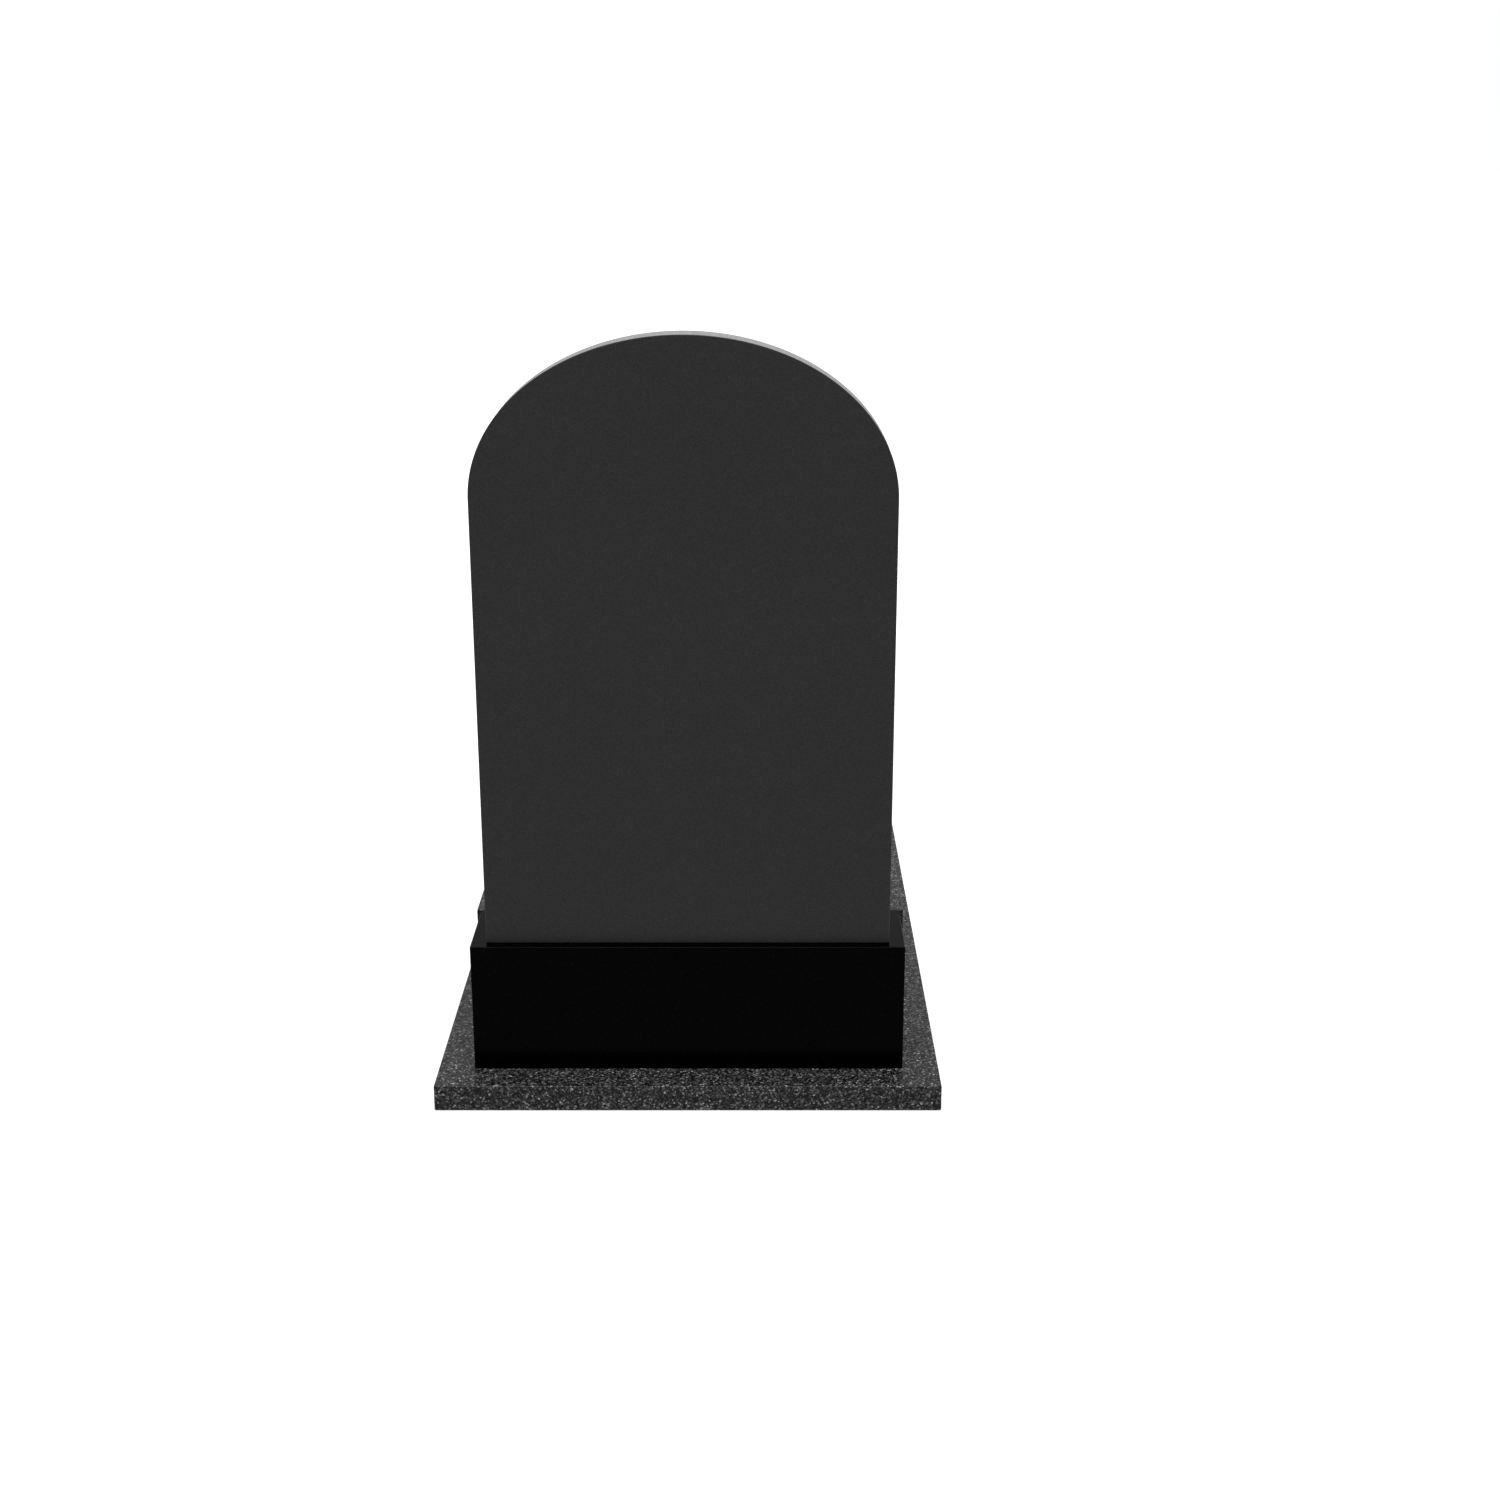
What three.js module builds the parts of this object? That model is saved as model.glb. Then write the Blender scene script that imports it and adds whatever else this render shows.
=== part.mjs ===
// Headstone: an arched tablet on a polished plinth, with a raised ledger in line with it, all on one slab.
// Millimetres, +Z up. +Y runs along the grave, from its head end to its foot end.
// The origin is the middle of the foundation slab's underside.
import * as THREE from 'three';

// Foundation slab
const SLAB_WIDTH = 760;
const SLAB_LENGTH = 1800;
const SLAB_THICKNESS = 40;
const SLAB_ARRIS = 2.5;

// Plinth, set in from the slab's head edge
const PLINTH_WIDTH = 650;
const PLINTH_DEPTH = 145;
const PLINTH_HEIGHT = 200;
const PLINTH_ARRIS = 2;
const HEAD_MARGIN = 58;

// Ledger, from the plinth to near the slab's foot edge, with its top level with the plinth's top
const LEDGER_WIDTH = 664;
const LEDGER_ARRIS = 2.5;
const FOOT_MARGIN = 48;

// Tablet, with straight sides up to the springing of a half-ellipse
const TABLET_WIDTH = 604;
const TABLET_HEIGHT = 900;
const TABLET_THICKNESS = 50;
const TABLET_SETBACK = 16;
const TABLET_ARRIS = 2;
const ARCH_RISE = 228;
const ARCH_STEPS = 72;

// Thin joints between the stones
const BED_JOINT = 0.3;
const PLINTH_JOINT = 0.5;

const speckledGranite = new THREE.MeshStandardMaterial({ color: 0x505152, roughness: 0.6, metalness: 0 });
const blackGranite = new THREE.MeshStandardMaterial({ color: 0x0b0b0c, roughness: 0.25, metalness: 0 });
const greyGranite = new THREE.MeshStandardMaterial({ color: 0x2f2f2f, roughness: 0.5, metalness: 0 });

// A solid between two parallel outlines, with its edges chamfered by arris inside the stated thickness.
// The outline lies in XY, and the solid runs from z = 0 to z = thickness.
function dressedSolid(outline, thickness, arris) {
  const solid = new THREE.ExtrudeGeometry(outline, {
    depth: thickness - 2 * arris,
    bevelThickness: arris,
    bevelSize: arris,
    bevelOffset: -arris,
    bevelSegments: 1,
  });
  return solid.translate(0, 0, arris);
}

// A rectangle centred on the origin, with its corners cut by the same arris as its edges.
function blockOutline(width, depth, arris) {
  const x = width / 2;
  const y = depth / 2;
  return new THREE.Shape([
    new THREE.Vector2(x - arris, -y),
    new THREE.Vector2(x, -y + arris),
    new THREE.Vector2(x, y - arris),
    new THREE.Vector2(x - arris, y),
    new THREE.Vector2(-x + arris, y),
    new THREE.Vector2(-x, y - arris),
    new THREE.Vector2(-x, -y + arris),
    new THREE.Vector2(-x + arris, -y),
  ]);
}

// Straight sides from y = 0 up to the springing, then a half-ellipse to the crown.
function archOutline(width, height, rise, steps) {
  const x = width / 2;
  const springing = height - rise;
  const points = [new THREE.Vector2(-x, 0), new THREE.Vector2(x, 0)];
  for (let i = 0; i <= steps; i += 1) {
    const turn = (Math.PI * i) / steps;
    points.push(new THREE.Vector2(x * Math.cos(turn), springing + rise * Math.sin(turn)));
  }
  return new THREE.Shape(points);
}

function stone(name, geometry, material, y, z) {
  const mesh = new THREE.Mesh(geometry, material);
  mesh.name = name;
  mesh.position.set(0, y, z);
  return mesh;
}

const headEdge = -SLAB_LENGTH / 2;
const bedLevel = SLAB_THICKNESS + BED_JOINT;
const plinthTop = bedLevel + PLINTH_HEIGHT;
const plinthNear = headEdge + HEAD_MARGIN;
const plinthFar = plinthNear + PLINTH_DEPTH;
const ledgerNear = plinthFar + PLINTH_JOINT;
const ledgerFar = SLAB_LENGTH / 2 - FOOT_MARGIN;
const tabletNear = plinthNear + TABLET_SETBACK;

function foundationSlab() {
  const outline = blockOutline(SLAB_WIDTH, SLAB_LENGTH, SLAB_ARRIS);
  return stone('foundation_slab', dressedSolid(outline, SLAB_THICKNESS, SLAB_ARRIS), speckledGranite, 0, 0);
}

function plinth() {
  const outline = blockOutline(PLINTH_WIDTH, PLINTH_DEPTH, PLINTH_ARRIS);
  const solid = dressedSolid(outline, PLINTH_HEIGHT, PLINTH_ARRIS);
  return stone('plinth', solid, blackGranite, (plinthNear + plinthFar) / 2, bedLevel);
}

function ledger() {
  const outline = blockOutline(LEDGER_WIDTH, ledgerFar - ledgerNear, LEDGER_ARRIS);
  const solid = dressedSolid(outline, plinthTop - bedLevel, LEDGER_ARRIS);
  return stone('ledger', solid, speckledGranite, (ledgerNear + ledgerFar) / 2, bedLevel);
}

function tablet() {
  const outline = archOutline(TABLET_WIDTH, TABLET_HEIGHT, ARCH_RISE, ARCH_STEPS);
  const solid = dressedSolid(outline, TABLET_THICKNESS, TABLET_ARRIS).rotateX(Math.PI / 2);
  return stone('tablet', solid, greyGranite, tabletNear + TABLET_THICKNESS, plinthTop + BED_JOINT);
}

const headstone = new THREE.Group();
headstone.add(foundationSlab(), plinth(), ledger(), tablet());

export default headstone;
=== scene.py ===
# %% [markdown]
# # A headstone in four stones
# A headstone is rarely one stone. This one is an upright tablet, bedded on a plinth. Behind the plinth a
# raised ledger covers the grave, and a thin foundation slab carries them all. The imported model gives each
# stone's size and place. Here each one is modelled again, with the rounded arrises and the surface that a
# mason would give it. Lengths are in metres, +Z is up, and +Y runs from the head of the grave to its foot.

import math

import bpy
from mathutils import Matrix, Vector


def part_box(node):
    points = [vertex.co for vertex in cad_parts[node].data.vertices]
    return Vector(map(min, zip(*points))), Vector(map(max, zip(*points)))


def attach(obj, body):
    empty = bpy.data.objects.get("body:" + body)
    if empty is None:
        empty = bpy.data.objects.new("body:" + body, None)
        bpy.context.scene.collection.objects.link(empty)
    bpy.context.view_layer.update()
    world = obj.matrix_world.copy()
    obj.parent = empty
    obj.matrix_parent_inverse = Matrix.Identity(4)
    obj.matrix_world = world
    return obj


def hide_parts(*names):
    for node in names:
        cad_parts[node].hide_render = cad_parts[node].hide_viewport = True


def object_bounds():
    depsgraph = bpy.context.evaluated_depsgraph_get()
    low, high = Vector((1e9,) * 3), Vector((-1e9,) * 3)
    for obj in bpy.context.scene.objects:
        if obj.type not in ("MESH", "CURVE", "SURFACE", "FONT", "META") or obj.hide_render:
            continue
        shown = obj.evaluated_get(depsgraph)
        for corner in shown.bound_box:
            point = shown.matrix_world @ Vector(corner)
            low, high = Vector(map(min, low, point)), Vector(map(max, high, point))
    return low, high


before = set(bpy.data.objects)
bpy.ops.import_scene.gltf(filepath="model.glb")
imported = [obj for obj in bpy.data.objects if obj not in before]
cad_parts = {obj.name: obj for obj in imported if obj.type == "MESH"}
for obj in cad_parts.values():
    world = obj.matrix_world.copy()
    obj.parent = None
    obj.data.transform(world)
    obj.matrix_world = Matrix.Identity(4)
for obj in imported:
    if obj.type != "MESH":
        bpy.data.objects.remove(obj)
cad_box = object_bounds()
print("stones in the frame:", sorted(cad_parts))

# %% [markdown]
# ## Where each stone stands
# On a real grave the slab is laid first, and every other stone is set out from its edges. Here the stones
# could be placed by typed numbers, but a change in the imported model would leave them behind. So every stone
# starts from the box that the model gives it, as a centre and a size, which is what a primitive needs.

# %% Read each stone's centre and size


def place_of(node):
    low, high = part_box(node)
    return (low + high) / 2, high - low


for node in sorted(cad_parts):
    centre, size = place_of(node)
    print(f"{node}: {size.x * 1000:.1f} x {size.y * 1000:.1f} x {size.z * 1000:.1f} mm")

# %% [markdown]
# ## Starting a piece and settling it
# An operator acts on whatever is selected, so each new stone starts from an empty selection. A stone is then
# shaped in edit mode. When it is done, its place moves out of the object and into the mesh, so that a pattern
# on Object coordinates lies on it in the same way wherever the stone goes.

# %% Add a primitive, edit it and settle it


def start_piece(name, add_primitive, **placing):
    """Add one primitive with nothing else selected, and name it."""
    bpy.ops.object.select_all(action="DESELECT")
    add_primitive(**placing)
    piece = bpy.context.object
    piece.name = name
    piece.data.name = name
    return piece


def edit_all(piece):
    """Open the piece in edit mode with its whole mesh selected."""
    bpy.context.view_layer.objects.active = piece
    bpy.ops.object.mode_set(mode="EDIT")
    bpy.ops.mesh.select_all(action="SELECT")


def settle():
    """Leave edit mode and move the piece's place from its object into its mesh."""
    bpy.ops.object.mode_set(mode="OBJECT")
    bpy.ops.object.transform_apply(location=True, rotation=True, scale=True)


# %% [markdown]
# ## Rounding the arrises
# An arris is the edge where two dressed faces meet. Left sharp it chips at the first knock, so a mason rubs
# it to a small round. It could be modelled edge by edge. A Bevel modifier does it for every edge that turns
# sharply, and leaves the gentle turns of an arch alone. Weighted normals then keep the broad faces flat in
# the light, so that only the narrow round catches it.

# %% Round every sharp edge of a stone
ARRIS_SEGMENTS = 4
GENTLEST_ARRIS = math.radians(30)


def apply_modifier(piece, kind, settings):
    modifier = piece.modifiers.new(kind.title(), kind)
    for name, value in settings.items():
        setattr(modifier, name, value)
    bpy.context.view_layer.objects.active = piece
    bpy.ops.object.modifier_apply(modifier=modifier.name)


def round_arrises(piece, radius):
    bevel = {"width": radius, "segments": ARRIS_SEGMENTS, "limit_method": "ANGLE"}
    apply_modifier(piece, "BEVEL", {**bevel, "angle_limit": GENTLEST_ARRIS})
    bpy.ops.object.shade_smooth()
    apply_modifier(piece, "WEIGHTED_NORMAL", {"weight": 100})
    print(f"{piece.name}: arrises of {radius * 1000:.1f} mm, {len(piece.data.polygons)} faces")


# %% [markdown]
# ## Marking the arrises
# Hands, cloths and weather rub an arris more than a face, so a finish needs to know where the arrises are. It
# could work that out from the shape while rendering, which is slow and doesn't survive an export. Instead
# every face between two main directions gets 1 in an attribute of the mesh, which the finishes read.

# %% Write the arrises into an attribute
ARRIS_MARK = "arris"
SQUARE_ON = 0.999


def mark_arrises(piece, is_arris):
    marks = [1.0 if is_arris(face.normal) else 0.0 for face in piece.data.polygons]
    piece.data.attributes.new(ARRIS_MARK, "FLOAT", "FACE").data.foreach_set("value", marks)
    print(f"{piece.name}: {int(sum(marks))} faces on its arrises")


def on_block_arris(normal):
    return max(abs(normal.x), abs(normal.y), abs(normal.z)) < SQUARE_ON


def on_tablet_arris(normal):
    return 1 - SQUARE_ON < abs(normal.y) < SQUARE_ON


# %% [markdown]
# ## The three sawn blocks
# The foundation slab, the plinth and the ledger are cut from the quarry block as plain cuboids. They could be
# drawn corner by corner. A cube is quicker: it is added at the stone's place and size, and then rounded. The
# two matt stones get a slightly larger arris than the polished plinth, which is finished to a crisp edge.

# %% Saw the slab, the plinth and the ledger
MATT_ARRIS = 0.0016
POLISHED_ARRIS = 0.0012


def saw_block(name, node, arris):
    centre, size = place_of(node)
    block = start_piece(name, bpy.ops.mesh.primitive_cube_add, size=1, location=centre, scale=size)
    settle()
    round_arrises(block, arris)
    mark_arrises(block, on_block_arris)
    return block


slab = saw_block("foundation_slab_stone", "foundation_slab", MATT_ARRIS)
plinth = saw_block("plinth_stone", "plinth", POLISHED_ARRIS)
ledger = saw_block("ledger_stone", "ledger", MATT_ARRIS)

# %% [markdown]
# ## The tablet's outline
# The tablet's head is a half-ellipse, wider than it is high, standing on straight sides. A mason draws it on
# the stone before sawing. Its points could be worked out one by one, but a circle has them already. A circle
# as wide as the stone is flattened to the arch's rise and cut in half at the springing line, where the arch
# meets the sides. Its straight lower edge is then drawn down to the foot.

# %% Find the springing line
ARCH_RISE = 0.228

tablet_centre, tablet_size = place_of("tablet")
foot = tablet_centre.z - tablet_size.z / 2
springing = tablet_centre.z + tablet_size.z / 2 - ARCH_RISE
near_face = tablet_centre.y - tablet_size.y / 2
print(f"the arch springs {(springing - foot) * 1000:.0f} mm above the tablet's foot")

# %% Select what lies on it
TOUCHING = 0.00001


def select_at_springing(piece):
    """In edit mode, select only the edges that lie on the springing line."""
    bpy.ops.mesh.select_all(action="DESELECT")
    bpy.ops.object.mode_set(mode="OBJECT")
    heights = [(piece.matrix_world @ vertex.co).z for vertex in piece.data.vertices]
    for edge in piece.data.edges:
        edge.select = all(abs(heights[end] - springing) < TOUCHING for end in edge.vertices)
    bpy.ops.object.mode_set(mode="EDIT")


# %% Draw the outline
CIRCLE_POINTS = 256


def draw_outline():
    outline = start_piece(
        "tablet_stone",
        bpy.ops.mesh.primitive_circle_add,
        vertices=CIRCLE_POINTS,
        radius=tablet_size.x / 2,
        fill_type="NGON",
        location=(tablet_centre.x, near_face, springing),
        rotation=(math.pi / 2, 0, 0),
    )
    edit_all(outline)
    bpy.ops.mesh.select_mode(type="EDGE")
    bpy.ops.transform.resize(value=(1, 1, ARCH_RISE / (tablet_size.x / 2)))
    bpy.ops.mesh.bisect(plane_co=(0, near_face, springing), plane_no=(0, 0, 1), clear_inner=True)
    select_at_springing(outline)
    bpy.ops.mesh.extrude_edges_move(TRANSFORM_OT_translate={"value": (0, 0, foot - springing)})
    select_at_springing(outline)
    bpy.ops.mesh.dissolve_edges(use_verts=False)
    bpy.ops.object.mode_set(mode="OBJECT")
    return outline


tablet = draw_outline()
print(f"outline: {len(tablet.data.vertices)} points round {len(tablet.data.polygons)} face")

# %% [markdown]
# ## The tablet's thickness
# A tablet is sawn from a slab of even thickness. The outline is now one flat face, so a Solidify modifier
# could thicken it, but an extrusion goes the way it is told, from the near face to the far one. The new walls
# may face inwards, so the normals are turned outwards before anything else uses them.

# %% Give the outline its thickness
TABLET_ARRIS = 0.0012


def give_thickness(outline):
    edit_all(outline)
    bpy.ops.mesh.select_mode(type="FACE")
    bpy.ops.mesh.extrude_region_move(TRANSFORM_OT_translate={"value": (0, tablet_size.y, 0)})
    bpy.ops.mesh.select_all(action="SELECT")
    bpy.ops.mesh.normals_make_consistent(inside=False)
    settle()
    round_arrises(outline, TABLET_ARRIS)
    mark_arrises(outline, on_tablet_arris)


give_thickness(tablet)

# %% [markdown]
# ## Arithmetic on a surface
# A stone's surface is a sum of patterns: crystals, clouds, streaks from the saw. In the shader editor that is
# a web of Math nodes, which is hard to read. Here a small class wraps one socket and overloads the operators
# in both orders, so that a pattern reads as a formula, such as 1 - cloud * 0.5.

# %% Wrap one socket as a value


class Value:
    """One output socket of a finish. Arithmetic on it adds a Math node."""

    def __init__(self, finish, socket):
        self.finish = finish
        self.socket = socket

    def math(self, operation, *inputs):
        return self.finish.node("Math", {"operation": operation}, dict(enumerate(inputs)))

    def __add__(self, other):
        return self.math("ADD", self, other)

    def __sub__(self, other):
        return self.math("SUBTRACT", self, other)

    def __rsub__(self, other):
        return self.math("SUBTRACT", other, self)

    def __mul__(self, other):
        return self.math("MULTIPLY", self, other)

    def __pow__(self, other):
        return self.math("POWER", self, other)

    def __rpow__(self, other):
        return self.math("POWER", other, self)

    __radd__ = __add__
    __rmul__ = __mul__

    def at_least(self, floor):
        return self.math("MAXIMUM", self, floor)

    def log(self):
        return self.math("LOGARITHM", self, math.e)


# %% [markdown]
# ## A finish
# A mason's finish is how far the stone is taken: sawn, honed or polished. Here it is one material. How much
# it shines is the same all over, so that goes straight on the shader's own socket. Colour, roughness and
# relief change over the stone, so they are linked. All nodes come from one method, so that a pattern takes
# one line.

# %% Make a material and its nodes


class Finish:
    """A material in the making. Its shine, from 0 to 1, is the same all over."""

    def __init__(self, name, shine):
        self.material = bpy.data.materials.new(name)
        self.material.use_nodes = True
        self.tree = self.material.node_tree
        self.shader = self.tree.nodes["Principled BSDF"]
        self.feed(self.shader, {"Specular IOR Level": shine})
        self.place = self.node("TexCoord", {}, {}, "Object")

    def feed(self, node, inputs):
        for name, source in inputs.items():
            if isinstance(source, Value):
                self.tree.links.new(source.socket, node.inputs[name])
            else:
                node.inputs[name].default_value = source

    def node(self, kind, settings, inputs, output=0):
        made = self.tree.nodes.new("ShaderNode" + kind)
        for name, choice in settings.items():
            setattr(made, name, choice)
        self.feed(made, inputs)
        return Value(self, made.outputs[output])

    def vector(self, operation, first, second, second_input=1):
        return self.node("VectorMath", {"operation": operation}, {0: first, second_input: second})

    def done(self, colour, roughness, height, relief):
        """Link what varies. A height of 1 stands out by the relief, in metres."""
        normal = self.node("Bump", {}, {"Height": height, "Distance": relief})
        self.feed(self.shader, {"Base Color": colour, "Roughness": roughness, "Normal": normal})
        print(f"{self.material.name}: {len(self.tree.nodes)} nodes")
        return self.material


# %% [markdown]
# ## Patterns that all the stones share
# Every stone here is crystalline. Noise gives what drifts slowly, such as the clouds in the stone. A Voronoi
# texture gives one random number for each crystal. Its cells have straight borders, and crystals that grew
# against each other don't, so the coordinates are first pushed about by a fine noise.

# %% Noise, ragged places and crystals


def noise(finish, size, place=None):
    """Soft noise from 0 to 1, with features about size metres across."""
    return finish.node("TexNoise", {}, {"Vector": place or finish.place, "Scale": 1 / size})


def ragged(finish, reach, size):
    """The stone's coordinates, pushed about by up to reach metres in waves of the given size."""
    push = finish.node("TexNoise", {}, {"Vector": finish.place, "Scale": 1 / size}, "Color")
    centred = finish.vector("SUBTRACT", push, (0.5, 0.5, 0.5))
    moved = finish.vector("SCALE", centred, 2 * reach, "Scale")
    return finish.vector("ADD", finish.place, moved)


def crystals(finish, size, place):
    """A random number from 0 to 1 for each crystal, of about size metres across."""
    cell = finish.node("TexVoronoi", {}, {"Vector": place, "Scale": 1 / size}, "Color")
    return finish.node("SeparateColor", {}, {"Color": cell})


def grey(finish, level):
    return finish.node("CombineColor", {}, {"Red": level, "Green": level, "Blue": level})


def around_one(value, spread):
    """Turn a value from 0 to 1 into a factor that strays from 1 by up to half the spread."""
    return 1 + (value - 0.5) * spread


def rubbed(finish):
    """1 on the arrises and 0 elsewhere."""
    return finish.node("Attribute", {"attribute_name": ARRIS_MARK}, {}, "Fac")


# %% [markdown]
# ## Speckled granite
# Granite is a tight packing of dark mica, grey quartz and pale feldspar, each crystal about two millimetres
# across. It could be three flat tones, but that looks like terrazzo. In this stone most crystals are dark and
# the brighter ones get rarer step by step, and minus the logarithm of a random number falls off in just that
# way, up to the rarest crystals. Smaller flecks break up each crystal, some a little warm and some a little
# cool. The crystals' sizes are in metres.

# %% Mix the speckled granite
CRYSTAL = 0.0023
RAGGED = 0.0004
FLECK = CRYSTAL / 3
CLOUD = 0.09
RAREST = 0.005
GRANITE_LEVEL = 0.021
GRANITE_CONTRAST = 1.55
GRANITE_ROUGH = 0.28
GRANITE_SHINE = 0.16
GRANITE_PITS = 0.0012
GRANITE_RELIEF = 0.0001
COOL = (0.97, 0.99, 1.02, 1)
WARM = (1.03, 1.01, 0.98, 1)


def between(finish, share, first, second):
    """A colour between two others. Sockets 6 and 7 and output 2 are a Mix node's colour ones."""
    return finish.node("Mix", {"data_type": "RGBA"}, {"Factor": share, 6: first, 7: second}, 2)


def speckled_granite():
    finish = Finish("speckled_stone", GRANITE_SHINE)
    place = ragged(finish, RAGGED, CRYSTAL / 2)
    crystal = crystals(finish, CRYSTAL, place)
    fleck = crystals(finish, FLECK, place)
    cloud = noise(finish, CLOUD)
    worn = rubbed(finish)
    brightness = (0 - crystal.at_least(RAREST).log()) ** GRANITE_CONTRAST
    level = GRANITE_LEVEL * brightness * around_one(fleck, 0.7) * around_one(cloud, 0.24) + worn * 0.002
    colour = finish.vector("SCALE", between(finish, fleck, COOL, WARM), level, "Scale")
    rough = GRANITE_ROUGH + cloud * 0.06 + crystal * 0.1 + fleck * 0.06 + worn * 0.05
    height = crystal * 0.6 + fleck * 0.2 + noise(finish, GRANITE_PITS) * 0.3
    return finish.done(colour, rough, height, GRANITE_RELIEF)


granite = speckled_granite()

# %% [markdown]
# ## Polished black granite
# The plinth's stone is so fine and dark that it looks black, and it takes a mirror polish: the slab shows in
# its face as a dark band along the foot. Real polish would mirror the white surroundings far more than the
# photograph shows, so the shine is kept low. A plain black could do from afar. Close up a few crystals glint
# grey, and the polish drifts, because a wheel never passes over a face quite evenly.

# %% Mix the polished black granite
BLACK_CRYSTAL = 0.0016
HAZE = 0.16
BLACK_LEVEL = 0.0001
BLACK_ROUGH = 0.08
BLACK_SHINE = 0.022
BLACK_RELIEF = 0.0004
GLINT_RARITY = 16


def black_granite():
    finish = Finish("polished_black_stone", BLACK_SHINE)
    crystal = crystals(finish, BLACK_CRYSTAL, ragged(finish, BLACK_CRYSTAL / 2, BLACK_CRYSTAL))
    haze = noise(finish, HAZE)
    glint = crystal**GLINT_RARITY
    worn = rubbed(finish)
    level = BLACK_LEVEL + crystal * 0.0003 + glint * 0.002 + worn * 0.0003
    rough = BLACK_ROUGH + haze * 0.08 + glint * 0.1 + worn * 0.1
    return finish.done(grey(finish, level), rough, haze, BLACK_RELIEF)


black = black_granite()

# %% [markdown]
# ## The tablet's honed faces
# The tablet's two broad faces are honed: rubbed to an even dark grey that hardly shines. From a few steps
# away they look like one flat colour, and a flat colour could do there. Close up the stone has a fine grain,
# faint clouds and slightly paler arrises, so all three are kept, each too weak to show from afar.

# %% Mix the honed granite
GREY_CRYSTAL = 0.0012
GREY_CLOUD = 0.22
HONED_LEVEL = 0.0158
HONED_ROUGH = 0.36
HONED_SHINE = 0.08
HONED_RELIEF = 0.00003


def honed_granite():
    finish = Finish("honed_grey_stone", HONED_SHINE)
    crystal = crystals(finish, GREY_CRYSTAL, ragged(finish, GREY_CRYSTAL / 2, GREY_CRYSTAL))
    cloud = noise(finish, GREY_CLOUD)
    worn = rubbed(finish)
    level = HONED_LEVEL + crystal * 0.01 + cloud * 0.003 + worn * 0.005
    rough = HONED_ROUGH + cloud * 0.06 + crystal * 0.05
    return finish.done(grey(finish, level), rough, crystal, HONED_RELIEF)


honed = honed_granite()

# %% [markdown]
# ## The tablet's sawn edge, with a painted highlight
# The edge round the tablet is left as it came from the saw. Sawn granite is far paler than the same stone
# honed, because every broken crystal scatters the light. Its colour here is paler still, because it also
# carries a painted highlight: the bright line where light catches the top of the edge. The arch is cut with
# a long wire that runs straight through the thickness, so its marks are short streaks across the edge. They
# could be even stripes, but a wire wanders and jumps, so the streaks are noise that is drawn out through the
# thickness.

# %% Mix the sawn edge and its painted highlight
SAWN_CRYSTAL = GREY_CRYSTAL * 1.4
SAWN_CLOUD = 0.03
STREAK = 0.0025
DRAWN_OUT = (1, 0.06, 1)
# Partly the paleness of sawn stone and partly a painted highlight, where light catches the edge's top
SAWN_AND_HIGHLIGHT_LEVEL = 0.11
SAWN_ROUGH = 0.8
SAWN_SHINE = 0.2
SAWN_RELIEF = 0.0003


def sawn_edge_and_highlight():
    finish = Finish("sawn_grey_stone_and_painted_highlight", SAWN_SHINE)
    crystal = crystals(finish, SAWN_CRYSTAL, ragged(finish, GREY_CRYSTAL / 2, GREY_CRYSTAL))
    streak = noise(finish, STREAK, finish.vector("MULTIPLY", finish.place, DRAWN_OUT))
    cloud = noise(finish, SAWN_CLOUD)
    # Painted highlight: this level is pale enough to show light catching the top of the edge
    level = SAWN_AND_HIGHLIGHT_LEVEL + crystal * 0.1 + cloud * 0.05 + streak * 0.1
    height = streak * 0.6 + crystal * 0.4
    rough = SAWN_ROUGH + crystal * 0.1
    return finish.done(grey(finish, level), rough, height, SAWN_RELIEF)


sawn = sawn_edge_and_highlight()

# %% [markdown]
# ## Dressing the stones
# Each block takes one finish. The tablet takes two: its broad faces and the arrises round them are honed, and
# the edge between them is sawn. It could be two objects, but it is one stone. So it stays one mesh, and each
# of its faces picks a finish by the way it points.

# %% Put each finish on its stone


def dress(stone, *finishes):
    stone.data.materials.clear()
    for finish in finishes:
        stone.data.materials.append(finish)


dress(slab, granite)
dress(ledger, granite)
dress(plinth, black)
dress(tablet, honed, sawn)
for face in tablet.data.polygons:
    face.material_index = 1 if abs(face.normal.y) < 1 - SQUARE_ON else 0
print("sawn faces on the tablet:", sum(face.material_index for face in tablet.data.polygons))

# %% [markdown]
# ## Joining the stones to the frame
# The imported model stands as one body, and its plain solids carry the weight. Each dressed stone rides on that
# body and replaces one plain solid in the picture. The solid could be dressed itself, but its arrises are
# flat cuts, and these are round. Each stone's slot is printed beside it.

# %% Ride, replace and print the slot
for stone, node, slot in (
    (slab, "foundation_slab", "speckled_granite"),
    (ledger, "ledger", "speckled_granite"),
    (plinth, "plinth", "black_granite"),
    (tablet, "tablet", "grey_granite"),
):
    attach(stone, "root")
    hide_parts(node)
    print(f"{stone.name} stands for {node}, in {slot}")

# %% [markdown]
# ## The floor
# A wide pale floor, bright enough to run into the backdrop without a line. It could light the stones from
# below, as a real one does. Here it is left out of that light and out of their reflections, and the lower
# half of the dome takes its place: that is as pale, and stays even right down to the foot of the stones.

# %% Lay the floor
FLOOR_SIZE = 60
FLOOR_DROP = 0.0005
FLOOR_DRIFT = 0.6
FLOOR_LEVEL = 0.86
FLOOR_ROUGH = 0.85
FLOOR_RELIEF = 0.001


def lay_floor():
    place = (0, 0, -FLOOR_DROP)
    floor = start_piece("floor", bpy.ops.mesh.primitive_plane_add, size=FLOOR_SIZE, location=place)
    settle()
    finish = Finish("pale_floor", 0)
    drift = noise(finish, FLOOR_DRIFT)
    colour = grey(finish, FLOOR_LEVEL + drift * 0.03)
    dress(floor, finish.done(colour, FLOOR_ROUGH + drift * 0.1, drift, FLOOR_RELIEF))
    floor.visible_diffuse = False
    floor.visible_glossy = False
    print(f"floor {FLOOR_SIZE} m wide, {FLOOR_DROP * 1000} mm below the slab")


lay_floor()

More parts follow.
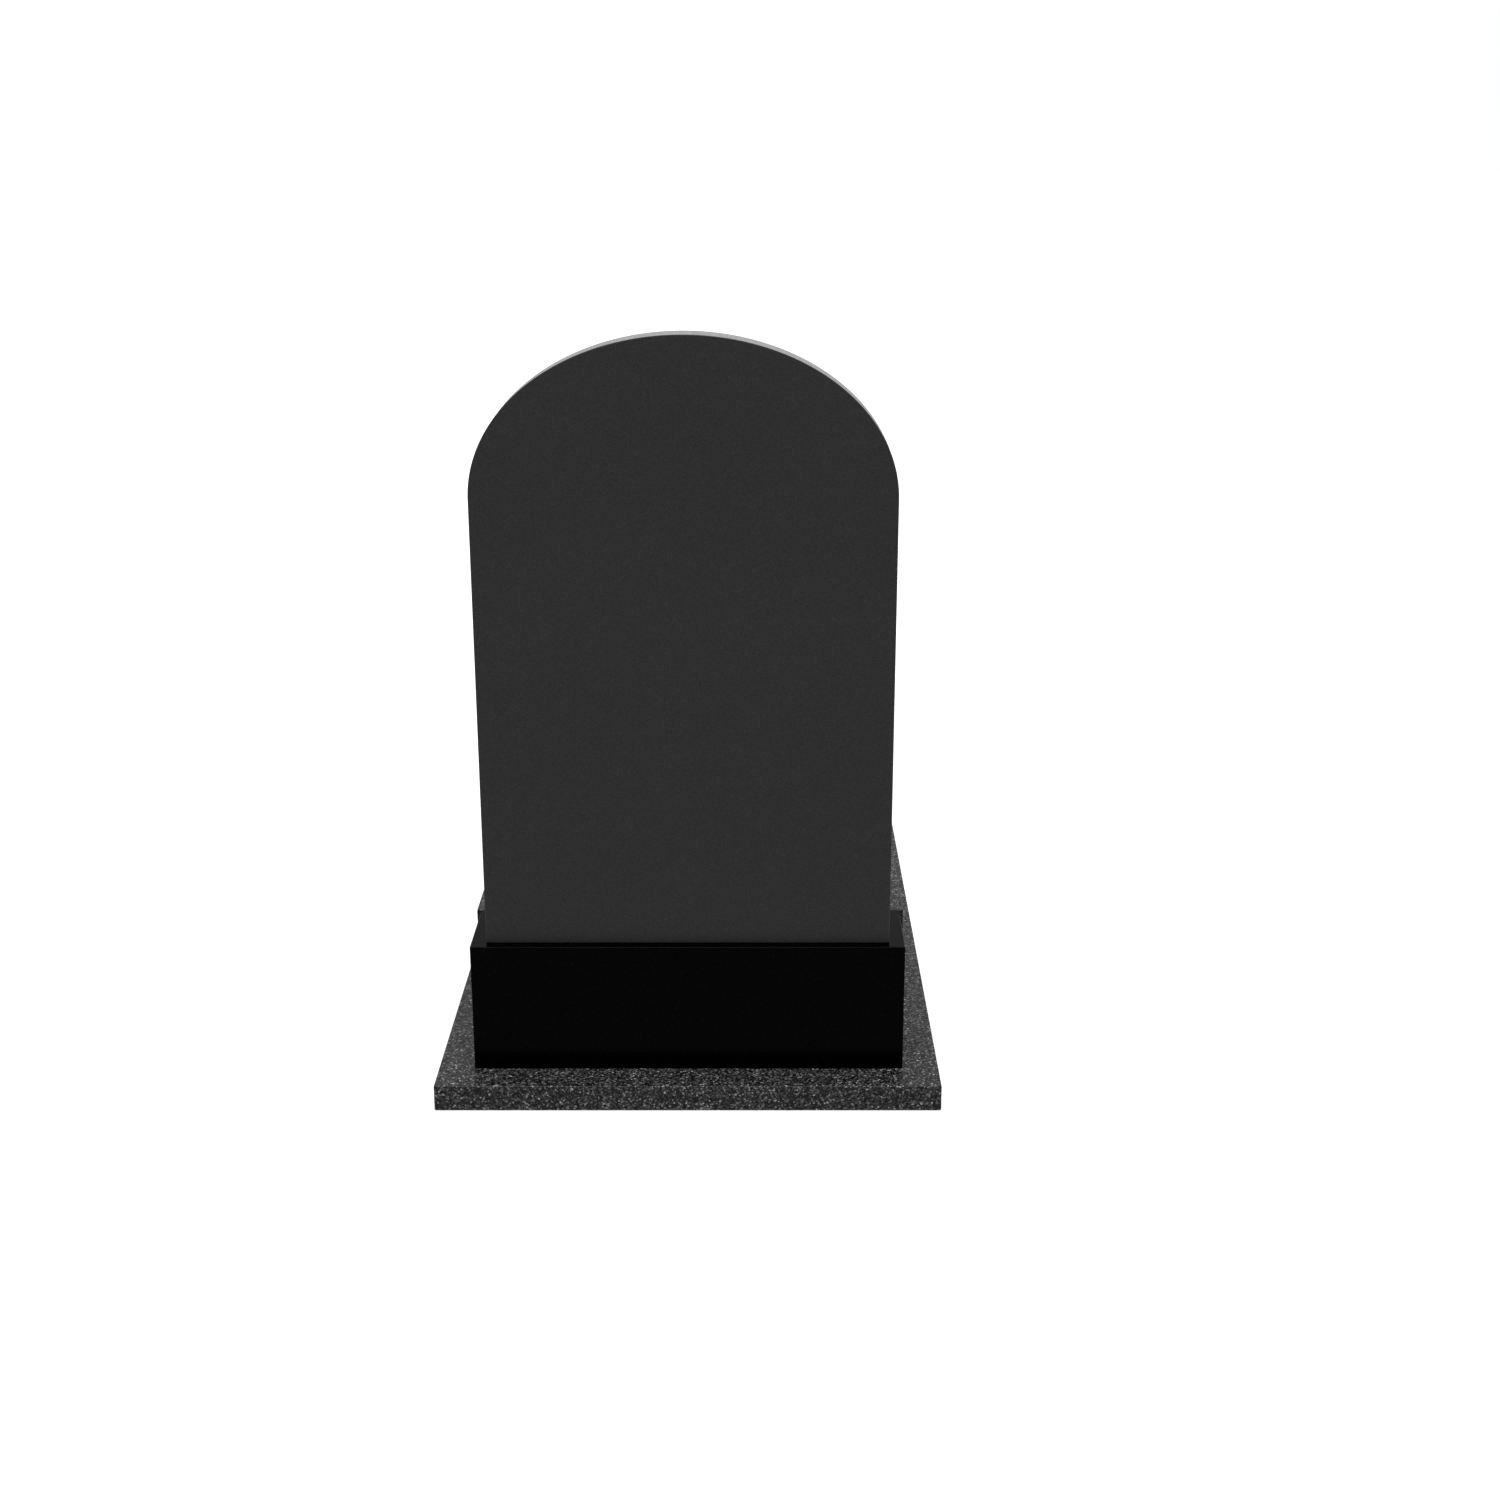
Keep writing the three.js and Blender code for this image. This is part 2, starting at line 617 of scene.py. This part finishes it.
# %% [markdown]
# ## The light
# The light is that of a photographer's white tent. A few soft lamps on stands could give it. A dome that is
# white all round is simpler, and is what the polish reflects. One broad lamp high above, leaning a little to
# the head side, makes the tops brighter than the sides and gives soft shadows. The camera sees the dome at
# full white, and the stones get a little less of it, so that their dark sides aren't washed out.

# %% Hang the dome and the lamp
DOME_LEVEL = 0.8
BACKDROP_LEVEL = 1.0
LAMP_LEVEL = 3.0
LAMP_LEAN = math.radians(15)
LAMP_WIDTH = math.radians(30)


def hang_dome():
    world = bpy.data.worlds.new("dome")
    bpy.context.scene.world = world
    world.use_nodes = True
    nodes = world.node_tree.nodes
    links = world.node_tree.links
    path = nodes.new("ShaderNodeLightPath")
    level = nodes.new("ShaderNodeMix")
    level.inputs["A"].default_value = DOME_LEVEL
    level.inputs["B"].default_value = BACKDROP_LEVEL
    links.new(path.outputs["Is Camera Ray"], level.inputs["Factor"])
    nodes["Background"].inputs["Color"].default_value = (1, 1, 1, 1)
    links.new(level.outputs["Result"], nodes["Background"].inputs["Strength"])


def hang_lamp():
    bpy.ops.object.light_add(type="SUN", rotation=(LAMP_LEAN, 0, 0))
    lamp = bpy.context.object
    lamp.name = "soft_lamp"
    lamp.data.energy = LAMP_LEVEL
    lamp.data.angle = LAMP_WIDTH
    print(f"lamp of strength {LAMP_LEVEL}, {math.degrees(LAMP_WIDTH):.0f} degrees across")


hang_dome()
hang_lamp()

# %% [markdown]
# ## The camera
# The view is a standing person's, a few steps from the head of the grave and a little to the right of its
# middle, looking down at the stone. A camera could be moved about until the picture looks right. Here a
# pinhole camera was fitted to the edges of the slab, the plinth and the tablet, and these are its numbers.

# %% Set the camera
LENS_MM = 50
SENSOR_MM = 36
LOOK_DOWN = math.radians(18.053)
CAMERA_RIGHT = 0.0932
CAMERA_BACK = 2.804
CAMERA_HEIGHT = 1.4826


def set_camera():
    head_edge = cad_box[0].y
    place = (CAMERA_RIGHT, head_edge - CAMERA_BACK, CAMERA_HEIGHT)
    bpy.ops.object.camera_add(location=place, rotation=(math.pi / 2 - LOOK_DOWN, 0, 0))
    camera = bpy.context.object
    camera.name = "camera"
    camera.data.lens = LENS_MM
    camera.data.sensor_width = SENSOR_MM
    bpy.context.scene.camera = camera
    bpy.context.scene.view_settings.view_transform = "Standard"
    print("camera at", [round(value, 3) for value in camera.location])


set_camera()
